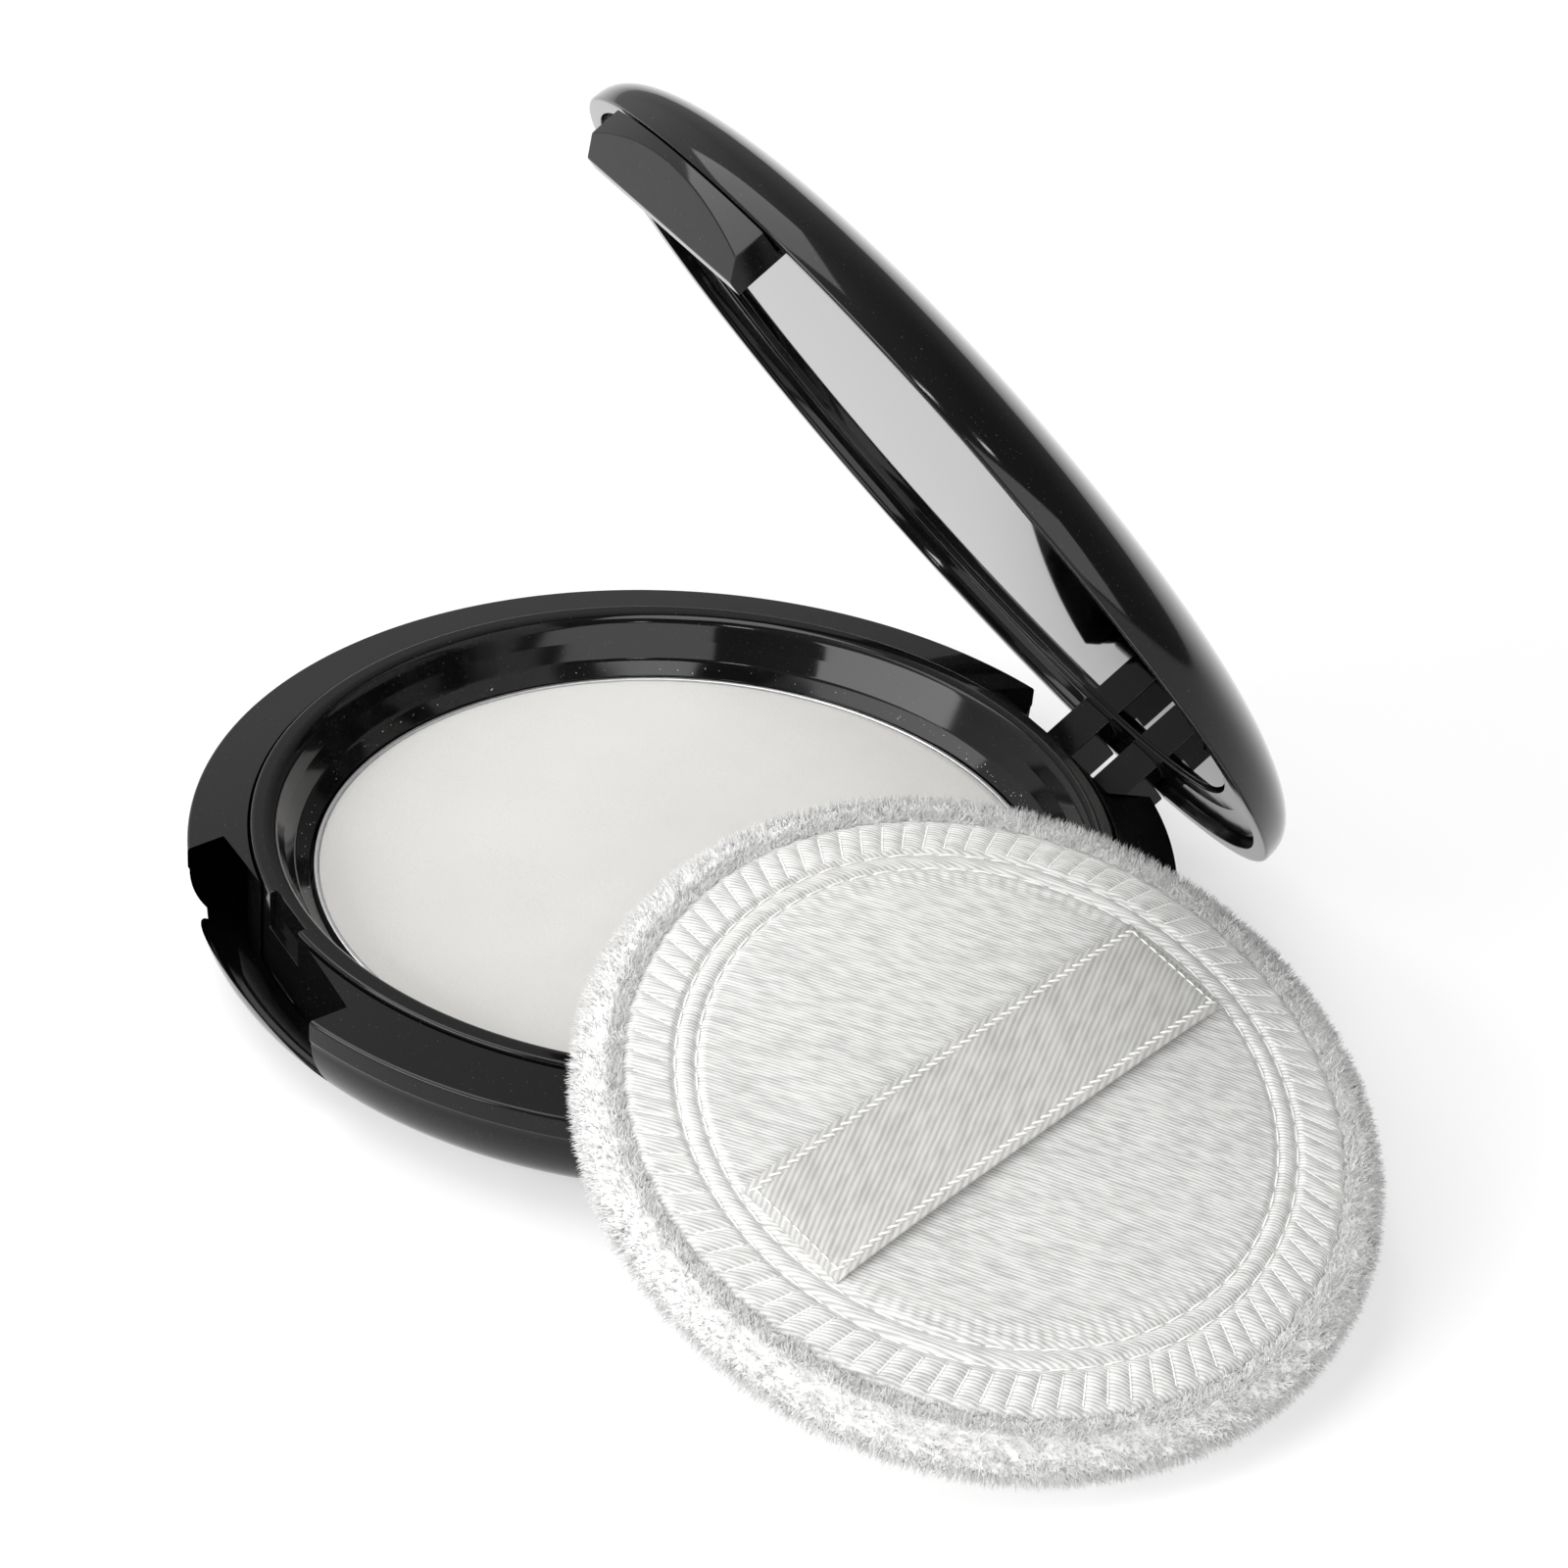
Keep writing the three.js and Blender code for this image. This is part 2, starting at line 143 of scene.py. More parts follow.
def ramp_between(nodes, links, source, low, high, start=0.0, end=1.0):
    """A colour ramp from low to high; both are grey values or colours."""
    ramp = nodes.new("ShaderNodeValToRGB")
    for element, value, place in zip(ramp.color_ramp.elements, (low, high), (start, end)):
        colour = (value, value, value) if isinstance(value, (int, float)) else value
        element.color = (*colour, 1)
        element.position = place
    links.new(source, ramp.inputs["Fac"])
    return ramp.outputs["Color"]


def colour_by(nodes, links, shader, source, low, high, start=0.0, end=1.0):
    links.new(ramp_between(nodes, links, source, low, high, start, end), shader.inputs["Base Color"])


def add_bump(nodes, links, shader, height, strength, distance):
    bump = nodes.new("ShaderNodeBump")
    bump.inputs["Strength"].default_value = strength
    bump.inputs["Distance"].default_value = distance
    links.new(height, bump.inputs["Height"])
    links.new(bump.outputs["Normal"], shader.inputs["Normal"])


tabletop, nodes, links, shader = new_material("pale_table")
shader.inputs["Roughness"].default_value = 0.9
shade = object_noise(nodes, links, 30)
colour_by(nodes, links, shader, shade.outputs["Fac"], TABLE_GREY * 0.995, TABLE_GREY)
shader.inputs["Emission Color"].default_value = (1, 1, 1, 1)
shader.inputs["Emission Strength"].default_value = TABLE_GLOW
table.data.materials.append(tabletop)

# ---------------------------------------------------------------------------
# Base body: the black outer moulding, polished styrene. Its side curves in to
# the flat underside; a thin crease parts the curved side from the upright edge.
# It has the latch notch in front and the hinge recess with knuckles behind.
# ---------------------------------------------------------------------------
RIM_RADIUS = 39.4
RIM_HEIGHT = 9.2
LAND_TOP = 10.04
BODY_SOCKET = 34.7
BODY_FLOOR = 1.6
FOOT_RADIUS = 31.0
CREASE_HEIGHT = 7.3
SIDE_SWEEP = 8.25
LABEL_POCKET_RADIUS, LABEL_POCKET_DEPTH = 14.2, 0.25
CUT_TOP = 13
NOTCH_HALF = 12.4
NOTCH_BACK = 34.4
NOTCH_FLOOR = 3.3
RECESS_HALF = 9.2
RECESS_FRONT, RECESS_BACK = 34.6, 42
WEB_FRONT, WEB_DEPTH = 35, 0.9
HINGE_Y, HINGE_Z = 37.0, 4.2
BARREL_RADIUS = 1.9
PIN_HOLE = 0.9
LEG_INNER, LEG_OUTER = 1.8, 5.8
HINGE_GAP = 0.3
PIN_HALF = 8.4
ROUND_SIDES = 288


def rounded_profile(corners):
    """[radius, height, fillet] corners of a section, with each fillet drawn as a small arc."""
    out = []
    count = len(corners)
    for i, (r, z, fillet) in enumerate(corners):
        here = np.array([r, z])
        before = np.array(corners[i - 1][:2]) - here
        after = np.array(corners[(i + 1) % count][:2]) - here
        if fillet <= 0 or not before.any() or not after.any():
            out.append((r, z))
            continue
        before_len, after_len = np.linalg.norm(before), np.linalg.norm(after)
        before, after = before / before_len, after / after_len
        half_angle = math.acos(np.clip(before @ after, -1, 1)) / 2
        reach = min(fillet / math.tan(half_angle), 0.48 * before_len, 0.48 * after_len)
        steps = 5 if fillet < 0.6 else 12
        for k in range(steps + 1):
            t = k / steps
            point = here + before * reach * (1 - t) ** 2 + after * reach * t ** 2
            out.append(tuple(point))
    return out


def turned(name, profile, sides=ROUND_SIDES):
    """A closed body turned about Z from (radius, height) points that run anticlockwise."""
    points, rings = [], []
    for r, z in profile:
        if r < 1e-6:
            rings.append([len(points)] * sides)
            points.append((0, 0, z))
            continue
        first = len(points)
        rings.append(list(range(first, first + sides)))
        angle = np.arange(sides) * 2 * math.pi / sides
        points += list(zip(r * np.cos(angle), r * np.sin(angle), np.full(sides, z)))
    faces = []
    for a, b in zip(rings, rings[1:] + rings[:1]):
        for i in range(sides):
            j = (i + 1) % sides
            corners = list(dict.fromkeys((a[i], a[j], b[j], b[i])))
            if len(corners) > 2:
                faces.append(corners)
    return mesh_piece(name, points, faces)


def prism_along_x(name, section, x0, x1):
    """A prism whose section is [y, z] points, anticlockwise seen from +X."""
    count = len(section)
    points = [(x0, y, z) for y, z in section] + [(x1, y, z) for y, z in section]
    faces = [tuple(range(count - 1, -1, -1)), tuple(range(count, 2 * count))]
    faces += [(i, (i + 1) % count, count + (i + 1) % count, count + i) for i in range(count)]
    return mesh_piece(name, points, faces)


def box_section(y0, y1, z0, z1):
    return [(y0, z0), (y1, z0), (y1, z1), (y0, z1)]


def rod_section(radius, steps=40, y=HINGE_Y, z=HINGE_Z):
    return [(y + radius * math.cos(2 * math.pi * i / steps), z + radius * math.sin(2 * math.pi * i / steps))
            for i in range(steps)]


def finished(piece):
    """The piece's mesh with its modifiers applied."""
    bpy.context.view_layer.update()
    made = bpy.data.meshes.new_from_object(piece.evaluated_get(bpy.context.evaluated_depsgraph_get()))
    piece.modifiers.clear()
    piece.data = made
    return piece


def combine(piece, others, operation):
    """Joins or cuts the piece with the others, which are used up."""
    for other in others:
        step = piece.modifiers.new(operation.lower(), "BOOLEAN")
        step.operation = operation
        step.solver = "EXACT"
        step.object = other
        finished(piece)
        bpy.data.objects.remove(other)
    return piece


def soften_edges(piece, width, angle=38, smooth=30):
    """Breaks the cut edges with a small round, and smooths what is curved."""
    edge = piece.modifiers.new("edges", "BEVEL")
    edge.limit_method = "ANGLE"
    edge.angle_limit = math.radians(angle)
    edge.width = width * MM
    edge.segments = 2
    edge.use_clamp_overlap = False
    finished(piece)
    piece.data.shade_smooth()
    piece.data.set_sharp_from_angle(angle=math.radians(smooth))
    flat = piece.modifiers.new("flat_faces", "WEIGHTED_NORMAL")
    flat.keep_sharp = True
    return piece


def notch_space(name):
    back, turn, out = -NOTCH_BACK, -NOTCH_BACK - 1.9, -RIM_RADIUS - 4
    slope_top = NOTCH_FLOOR + turn - out
    section = [(out, CUT_TOP), (out, slope_top), (turn, NOTCH_FLOOR), (back, NOTCH_FLOOR), (back, CUT_TOP)]
    return prism_along_x(name, section, -NOTCH_HALF, NOTCH_HALF)


side_steps = 26
side = [(FOOT_RADIUS + SIDE_SWEEP * math.sin(t), CREASE_HEIGHT - CREASE_HEIGHT * math.cos(t), 0)
        for t in np.linspace(0, math.pi / 2, side_steps)]
body_section = rounded_profile([
    (0, 0, 0),
    *side,
    (RIM_RADIUS - 0.02, CREASE_HEIGHT + 0.22, 0.1),
    (RIM_RADIUS, RIM_HEIGHT, 0.35),
    (BODY_SOCKET, LAND_TOP, 0.05),
    (BODY_SOCKET, BODY_FLOOR, 0),
    (0, BODY_FLOOR, 0),
])
base_body = turned("base_body", body_section)
label_pocket = turned("label_pocket", [
    (0, -1), (LABEL_POCKET_RADIUS, -1), (LABEL_POCKET_RADIUS, LABEL_POCKET_DEPTH), (0, LABEL_POCKET_DEPTH),
], 96)
recess_section = box_section(RECESS_FRONT, RECESS_BACK, BODY_FLOOR, CUT_TOP)
hinge_recess = prism_along_x("hinge_recess", recess_section, -RECESS_HALF, RECESS_HALF)
combine(base_body, [label_pocket, hinge_recess, notch_space("latch_notch")], "DIFFERENCE")
knuckle_spans = [
    (-RECESS_HALF - 0.5, -LEG_OUTER - HINGE_GAP),
    (-LEG_INNER + HINGE_GAP, LEG_INNER - HINGE_GAP),
    (LEG_OUTER + HINGE_GAP, RECESS_HALF + 0.5),
]
knuckles = []
for k, (x0, x1) in enumerate(knuckle_spans):
    web_section = box_section(WEB_FRONT, HINGE_Y + WEB_DEPTH, BODY_FLOOR - 0.4, HINGE_Z)
    knuckles.append(prism_along_x(f"knuckle_web_{k}", web_section, x0, x1))
    knuckles.append(prism_along_x(f"knuckle_{k}", rod_section(BARREL_RADIUS), x0, x1))
combine(base_body, knuckles, "UNION")
pin_bore = prism_along_x("pin_bore", rod_section(PIN_HOLE, 24), -PIN_HALF - 0.2, PIN_HALF + 0.2)
combine(base_body, [pin_bore], "DIFFERENCE")
soften_edges(base_body, 0.12)


def black_gloss(name, dust):
    """Polished black moulding: nearly flat gloss, faint waviness, fine dust that dulls it a little."""
    material, nodes, links, shader = new_material(name)
    waves = object_noise(nodes, links, 220, 1.0)
    specks = object_noise(nodes, links, 5200, 1.0)
    smear = object_noise(nodes, links, 90, 3.0)
    dull = ramp_between(nodes, links, smear.outputs["Fac"], 0.06, 0.11, 0.35, 0.75)
    links.new(dull, shader.inputs["Roughness"])
    dusty = ramp_between(nodes, links, specks.outputs["Fac"], 0.004, dust, 0.71, 0.80)
    links.new(dusty, shader.inputs["Base Color"])
    shader.inputs["IOR"].default_value = 1.5
    shader.inputs["Specular IOR Level"].default_value = 0.28
    add_bump(nodes, links, shader, waves.outputs["Fac"], 0.05, 0.0003)
    return material


moulding = black_gloss("black_moulding", 0.05)
base_body.data.materials.clear()
base_body.data.materials.append(moulding)
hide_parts("base_shell")
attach(base_body, "base")

# ---------------------------------------------------------------------------
# Base tray: the second black moulding, pushed into the body. It has the raised
# bead, the sloping wall of the well, the shelf round the pan and the pan's
# pocket; its front edge carries the small recess that the lid's hook enters.
# ---------------------------------------------------------------------------
BEAD_OUTER, BEAD_TOP = 34.5, 10.4
WELL_TOP, WELL_FOOT = 32.7, 31.0
SHELF_HEIGHT = 7.0
PAN_EDGE = 6.0
POCKET_RADIUS, POCKET_FLOOR = 29.8, 2.45
CATCH_HALF, CATCH_DEPTH = 2.8, 0.65
FLANGE_INNER, FLANGE_OUTER = 30.9, 33.4
TRAY_UNDERSIDE = 1.65

tray_section = rounded_profile([
    (0, TRAY_UNDERSIDE, 0),
    (FLANGE_INNER, TRAY_UNDERSIDE, 0),
    (FLANGE_INNER, 4.8, 0),
    (FLANGE_OUTER, 5.4, 0),
    (FLANGE_OUTER, TRAY_UNDERSIDE, 0),
    (BEAD_OUTER, TRAY_UNDERSIDE, 0),
    (BEAD_OUTER, BEAD_TOP, 0.35),
    (WELL_TOP, BEAD_TOP, 1.6),
    (WELL_TOP - 0.9, BEAD_TOP - 1.9, 1.0),
    (WELL_FOOT, SHELF_HEIGHT, 0.9),
    (POCKET_RADIUS, PAN_EDGE, 0.2),
    (POCKET_RADIUS, POCKET_FLOOR, 0),
    (0, POCKET_FLOOR, 0),
])
base_tray = turned("base_inner", tray_section)
catch_section = box_section(-NOTCH_BACK - 1, -NOTCH_BACK + CATCH_DEPTH, SHELF_HEIGHT + 0.2, 12)
catch_recess = prism_along_x("catch_recess", catch_section, -CATCH_HALF, CATCH_HALF)
combine(base_tray, [notch_space("tray_notch"), catch_recess], "DIFFERENCE")
soften_edges(base_tray, 0.08)
base_tray.data.materials.clear()
base_tray.data.materials.append(moulding)
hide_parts("base_tray")
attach(base_tray, "base")

# ---------------------------------------------------------------------------
# Base label and pan tape: a plain paper round let in flush under the base, and
# the thin foam disc that holds the pan. Both keep their frame shapes.
# ---------------------------------------------------------------------------
paper, nodes, links, shader = new_material("paper")
fibres = object_noise(nodes, links, 2500, 4.0)
colour_by(nodes, links, shader, fibres.outputs["Fac"], (0.80, 0.79, 0.76), (0.88, 0.87, 0.85))
shader.inputs["Roughness"].default_value = 0.75
tape, nodes, links, shader = new_material("foam_tape")
cells = object_noise(nodes, links, 3500, 3.0)
colour_by(nodes, links, shader, cells.outputs["Fac"], (0.70, 0.69, 0.63), (0.86, 0.85, 0.80))
shader.inputs["Roughness"].default_value = 0.8
for node, material in (("base_label", paper), ("pan_tape", tape), ("mirror_tape", tape)):
    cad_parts[node].data.materials.clear()
    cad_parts[node].data.materials.append(material)

# ---------------------------------------------------------------------------
# Powder pan: a godet pressed from 0.4 mm aluminium, stuck in the pocket. Only
# its bright edge shows, as a thin line round the powder.
# ---------------------------------------------------------------------------
PAN_RADIUS = 29.5
PAN_WALL = 0.4
PAN_BOTTOM = 2.75

pan_section = rounded_profile([
    (0, PAN_BOTTOM, 0),
    (PAN_RADIUS, PAN_BOTTOM, 0.4),
    (PAN_RADIUS, PAN_EDGE + 0.12, 0.12),
    (PAN_RADIUS - PAN_WALL, PAN_EDGE + 0.12, 0.12),
    (PAN_RADIUS - PAN_WALL, PAN_BOTTOM + PAN_WALL, 0.2),
    (0, PAN_BOTTOM + PAN_WALL, 0),
])
pan = turned("powder_pan_pressed", pan_section)
pan.data.shade_smooth()
aluminium, nodes, links, shader = new_material("pressed_aluminium")
grain = object_noise(nodes, links, 1800, 3.0)
links.new(ramp_between(nodes, links, grain.outputs["Fac"], 0.25, 0.42), shader.inputs["Roughness"])
colour_by(nodes, links, shader, grain.outputs["Fac"], (0.62, 0.62, 0.63), (0.80, 0.80, 0.80))
shader.inputs["Metallic"].default_value = 1
pan.data.materials.append(aluminium)
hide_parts("powder_pan")
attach(pan, "base")

# ---------------------------------------------------------------------------
# Pressed powder: a white cake pressed in the pan, very slightly crowned, with
# the faint hollows that the press leaves and a soft, crumbly edge.
# ---------------------------------------------------------------------------
CAKE_RADIUS = PAN_RADIUS - PAN_WALL - 0.03
CAKE_BOTTOM = PAN_BOTTOM + PAN_WALL + 0.05
CAKE_CROWN = 0.25
dice = np.random.default_rng(11)


def soft_waves(x, y, seed, waves, size):
    """A smooth random field of about -1..1; size is the shortest wave in millimetres."""
    rng = np.random.default_rng(seed)
    total = np.zeros_like(x)
    for _ in range(waves):
        turn = rng.uniform(0, math.tau)
        length = size * rng.uniform(1, 2.6)
        phase = rng.uniform(0, math.tau)
        total += np.sin((x * math.cos(turn) + y * math.sin(turn)) * math.tau / length + phase)
    return total / math.sqrt(waves)


def polar_sheet(name, radii, sides, height, underside):
    """A closed round sheet: height(x, y, r, angle) above, flat at underside below."""
    angle = np.arange(sides) * math.tau / sides
    points, rings = [], []
    for r in radii:
        x, y = r * np.cos(angle), r * np.sin(angle)
        z = height(x, y, np.full(sides, r), angle)
        rings.append(np.arange(sides) + len(points))
        points += list(zip(x, y, z))
    centre_top = len(points)
    points.append((0, 0, float(height(np.zeros(1), np.zeros(1), np.zeros(1), np.zeros(1))[0])))
    edge = rings[-1]
    low = np.arange(sides) + len(points)
    points += [(radii[-1] * math.cos(a), radii[-1] * math.sin(a), underside) for a in angle]
    centre_low = len(points)
    points.append((0, 0, underside))
    faces = []
    for i in range(sides):
        j = (i + 1) % sides
        faces.append((centre_top, rings[0][i], rings[0][j]))
        for a, b in zip(rings, rings[1:]):
            faces.append((a[i], b[i], b[j], a[j]))
        faces.append((edge[i], low[i], low[j], edge[j]))
        faces.append((low[i], centre_low, low[j]))
    return mesh_piece(name, points, faces)


def cake_height(x, y, r, angle):
    crown = CAKE_CROWN * (1 - (r / CAKE_RADIUS) ** 2)
    edge = -0.16 * np.clip((r - CAKE_RADIUS + 0.7) / 0.7, 0, 1) ** 2
    hollows = 0.035 * soft_waves(x, y, 3, 9, 14) + 0.012 * soft_waves(x, y, 4, 12, 3)
    return PAN_EDGE + 0.1 + crown + edge + hollows * np.clip((CAKE_RADIUS - r) / 2, 0, 1)


cake_radii = [*np.linspace(0.6, CAKE_RADIUS - 0.8, 56), *np.linspace(CAKE_RADIUS - 0.65, CAKE_RADIUS, 6)]
cake = polar_sheet("powder_cake", cake_radii, 240, cake_height, CAKE_BOTTOM)
cake.data.shade_smooth()
powder, nodes, links, shader = new_material("pressed_powder_white")
grains = object_noise(nodes, links, 9000, 4.0)
patches = object_noise(nodes, links, 70, 2.0)
POWDER_SHADE, POWDER_LIGHT = (0.60, 0.59, 0.57), (0.665, 0.655, 0.635)
grain_tone = ramp_between(nodes, links, grains.outputs["Fac"], POWDER_SHADE, POWDER_LIGHT, 0.3, 0.7)
patch_tone = ramp_between(nodes, links, patches.outputs["Fac"], 0.955, 1.0, 0.3, 0.7)
tone = nodes.new("ShaderNodeMix")
tone.data_type = "RGBA"
tone.blend_type = "MULTIPLY"
tone.inputs["Factor"].default_value = 1
links.new(grain_tone, tone.inputs["A"])
links.new(patch_tone, tone.inputs["B"])
links.new(tone.outputs["Result"], shader.inputs["Base Color"])
shader.inputs["Roughness"].default_value = 0.95
shader.inputs["Specular IOR Level"].default_value = 0.2
add_bump(nodes, links, shader, grains.outputs["Fac"], 0.25, 0.00008)
cake.data.materials.append(powder)
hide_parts("pressed_powder")
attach(cake, "base")

# ---------------------------------------------------------------------------
# Powder crumbs: the little that has come off the cake and lies on the shelf
# and on the edge of the well, thickest at the back right.
# ---------------------------------------------------------------------------
CRUMBS = 420


def crumb_bits(count):
    """Small rough grains on the shelf, as (centre, size) pairs."""
    out = []
    for _ in range(count):
        turn = dice.normal(0.75, 0.55) if dice.random() < 0.7 else dice.uniform(0, math.tau)
        r = dice.uniform(POCKET_RADIUS + 0.15, WELL_FOOT - 0.35)
        z = PAN_EDGE + (SHELF_HEIGHT - PAN_EDGE) * (r - POCKET_RADIUS) / (WELL_FOOT - POCKET_RADIUS)
        size = 0.03 + 0.05 * dice.random() ** 2
        out.append(((r * math.cos(turn), r * math.sin(turn), z + size * 0.5), size))
    return out


grain_points, grain_faces = [], []
corners = np.array([(1, 0, 0), (-1, 0, 0), (0, 1, 0), (0, -1, 0), (0, 0, 1), (0, 0, -1)], float)
sides_of_grain = [(0, 2, 4), (2, 1, 4), (1, 3, 4), (3, 0, 4), (2, 0, 5), (1, 2, 5), (3, 1, 5), (0, 3, 5)]
for centre, size in crumb_bits(CRUMBS):
    first = len(grain_points)
    grain_points += list(np.array(centre) + corners * size * dice.uniform(0.7, 1.2, (6, 1)))
    grain_faces += [tuple(first + v for v in face) for face in sides_of_grain]
crumbs = mesh_piece("powder_crumbs", grain_points, grain_faces)
crumbs.data.materials.append(powder)
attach(crumbs, "base")

# ---------------------------------------------------------------------------
# Hinge pin: 1.5 mm drawn steel wire with rounded ends, through the three
# knuckles of the base and the two legs of the lid.
# ---------------------------------------------------------------------------
PIN_RADIUS = 0.75
PIN_END_ROUND = 0.25
pin_section = rounded_profile([
    (0, -PIN_HALF, 0),
    (PIN_RADIUS, -PIN_HALF, PIN_END_ROUND),
    (PIN_RADIUS, PIN_HALF, PIN_END_ROUND),
    (0, PIN_HALF, 0),
])
pin = turned("hinge_pin_wire", pin_section, 32)
pin_place = Matrix.Translation((0, HINGE_Y * MM, HINGE_Z * MM))
pin.data.transform(pin_place @ Matrix.Rotation(math.pi / 2, 4, "Y"))
pin.data.shade_smooth()
wire, nodes, links, shader = new_material("drawn_wire")
drawn = object_noise(nodes, links, 900, 2.0, (20, 1, 1))
links.new(ramp_between(nodes, links, drawn.outputs["Fac"], 0.2, 0.4), shader.inputs["Roughness"])
colour_by(nodes, links, shader, drawn.outputs["Fac"], (0.5, 0.5, 0.51), (0.62, 0.62, 0.64))
shader.inputs["Metallic"].default_value = 1
pin.data.materials.append(wire)
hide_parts("hinge_pin")
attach(pin, "pin")

# ---------------------------------------------------------------------------
# Lid cover: the black domed outer moulding of the lid. It is drawn closed and
# turned open by 53 degrees about the hinge, as all pieces of the lid are.
# ---------------------------------------------------------------------------
LID_OPEN = 53
LID_RIM = 9.5
DOME_HEIGHT = 7.8
DOME_WALL = 1.5
DOME_POWER = 2.6
DOME_FOOT = 0.3
RIM_ROUND = 0.15
hinge_line = Matrix.Translation((0, HINGE_Y * MM, HINGE_Z * MM))
swung = hinge_line @ Matrix.Rotation(math.radians(-LID_OPEN), 4, "X") @ hinge_line.inverted()


def dome_arc(radius, height, steps):
    out = []
    for t in np.linspace(0, math.pi / 2, steps):
        r = radius * max(math.cos(t), 0) ** (2 / DOME_POWER)
        out.append((r, LID_RIM + DOME_FOOT + height * math.sin(t) ** (2 / DOME_POWER)))
    out[-1] = (0, out[-1][1])
    return out


outside = dome_arc(RIM_RADIUS, DOME_HEIGHT - DOME_FOOT, 64)
inside = dome_arc(RIM_RADIUS - DOME_WALL, DOME_HEIGHT - DOME_WALL, 40)
lid_cover = turned("lid_cover", [
    (RIM_RADIUS - DOME_WALL, LID_RIM),
    (RIM_RADIUS - RIM_ROUND, LID_RIM),
    (RIM_RADIUS, LID_RIM + RIM_ROUND),
    *outside[1:],
    *reversed(inside),
])
lid_cover.data.transform(swung)
soften_edges(lid_cover, 0.1)
lid_cover.data.materials.append(moulding)
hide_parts("lid_shell")
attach(lid_cover, "lid")

# ---------------------------------------------------------------------------
# Lid frame: the black inner moulding. A stepped band holds the mirror; in
# front hang the wide latch tab with its thumb slope and its hook, and behind
# two legs go down to the hinge pin.
# ---------------------------------------------------------------------------
MIRROR_RADIUS = 33.0
MIRROR_FACE = LID_RIM + 1.6
MIRROR_GLASS = 1.1
FRAME_SEAT = MIRROR_FACE + MIRROR_GLASS + 0.44
FRAME_TOP = FRAME_SEAT + 0.8
BAND_EDGE = RIM_RADIUS - DOME_WALL - 0.2
TAB_HALF = 11.5
TAB_BACK = NOTCH_BACK + 0.45
TAB_FRONT = RIM_RADIUS - 0.15
TAB_TIP = 5.4
TAB_FOOT = 1.3
LEG_HALF = 1.7

frame_section = rounded_profile([
    (0, FRAME_SEAT, 0),
    (MIRROR_RADIUS + 0.2, FRAME_SEAT, 0),
    (MIRROR_RADIUS + 0.2, LID_RIM + 1.3, 0.12),
    (BEAD_OUTER + 0.5, LID_RIM + 1.3, 0.12),
    (BAND_EDGE - 0.1, LID_RIM + 0.9, 0.12),
    (BAND_EDGE - 0.5, LID_RIM + 1.5, 0),
    (MIRROR_RADIUS + 1.8, LID_RIM + 2.9, 0),
    (MIRROR_RADIUS - 0.2, FRAME_TOP, 0),
    (0, FRAME_TOP, 0),
])
lid_frame = turned("lid_inner", frame_section)
slope = TAB_FRONT - TAB_BACK - TAB_FOOT
tab = prism_along_x("tab", [
    (-TAB_FRONT - 0.5, LID_RIM - 0.1),
    (-TAB_FRONT - 0.5, TAB_TIP + slope + 0.5),
    (-TAB_BACK - TAB_FOOT, TAB_TIP),
    (-TAB_BACK, TAB_TIP),
    (-TAB_BACK, LID_RIM - 0.1),
], -TAB_HALF, TAB_HALF)
tab_front = turned("tab_front", [
    (0, TAB_TIP - 1), (TAB_FRONT, TAB_TIP - 1), (TAB_FRONT, LID_RIM + 1), (0, LID_RIM + 1),
])
combine(tab, [tab_front], "INTERSECT")


def root_block(name, y0, y1, x0, x1):
    """The part of the tab or a leg inside the lid, cut round to the cover's inner wall."""
    block = prism_along_x(name, box_section(y0, y1, LID_RIM - 0.6, LID_RIM + 1.4), x0, x1)
    reach = BAND_EDGE - 0.4
    low, high = LID_RIM - 1, LID_RIM + 2
    band = turned(name + "_band", [(0, low), (reach, low), (reach, high), (0, high)])
    return combine(block, [band], "INTERSECT")


hook_section = box_section(-TAB_BACK - 0.5, -NOTCH_BACK + 0.5, SHELF_HEIGHT + 0.6, SHELF_HEIGHT + 1.6)
hook = prism_along_x("hook", hook_section, -CATCH_HALF + 0.3, CATCH_HALF - 0.3)
added = [tab, root_block("tab_root", -RIM_RADIUS, -TAB_BACK, -TAB_HALF, TAB_HALF), hook]
for side_name, x0, x1 in (("left", -LEG_OUTER, -LEG_INNER), ("right", LEG_INNER, LEG_OUTER)):
    leg_section = box_section(HINGE_Y - LEG_HALF, HINGE_Y + LEG_HALF, HINGE_Z, LID_RIM - 0.1)
    added.append(prism_along_x(f"leg_{side_name}", leg_section, x0, x1))
    added.append(root_block(f"leg_root_{side_name}", HINGE_Y - LEG_HALF, RIM_RADIUS, x0, x1))
    added.append(prism_along_x(f"leg_eye_{side_name}", rod_section(BARREL_RADIUS), x0, x1))
combine(lid_frame, added, "UNION")
leg_bore = prism_along_x("leg_bore", rod_section(PIN_HOLE, 24), -PIN_HALF, PIN_HALF)
combine(lid_frame, [leg_bore], "DIFFERENCE")
lid_frame.data.transform(swung)
soften_edges(lid_frame, 0.1)
lid_frame.data.materials.clear()
lid_frame.data.materials.append(moulding)
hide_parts("lid_frame")
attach(lid_frame, "lid")

